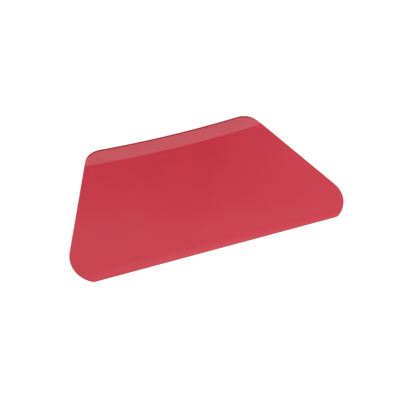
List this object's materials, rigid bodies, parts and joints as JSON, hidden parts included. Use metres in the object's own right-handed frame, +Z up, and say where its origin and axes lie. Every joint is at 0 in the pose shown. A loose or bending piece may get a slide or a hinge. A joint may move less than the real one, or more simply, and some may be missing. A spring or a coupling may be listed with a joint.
{
  "type": "dough scraper",
  "caption": "Thin flexible trapezoid plate for cutting dough and scraping bowls: long straight edge with large round corners, hollowed short edge with a wide bevel.",
  "frame": {"origin": "middle of the bounding rectangle of the flat underside, on the surface that the plate lies on", "axes": "+X along the long scraping edge, +Y from the long scraping edge to the short bevelled edge, +Z up out of the bevelled face"},
  "size_m": [0.216, 0.128, 0.0018],
  "materials": {
    "plate_plastic": "satin moulded red plastic"
  },
  "bodies": {
    "root": {"scraper_plate": "plate_plastic"}
  },
  "joints": []
}
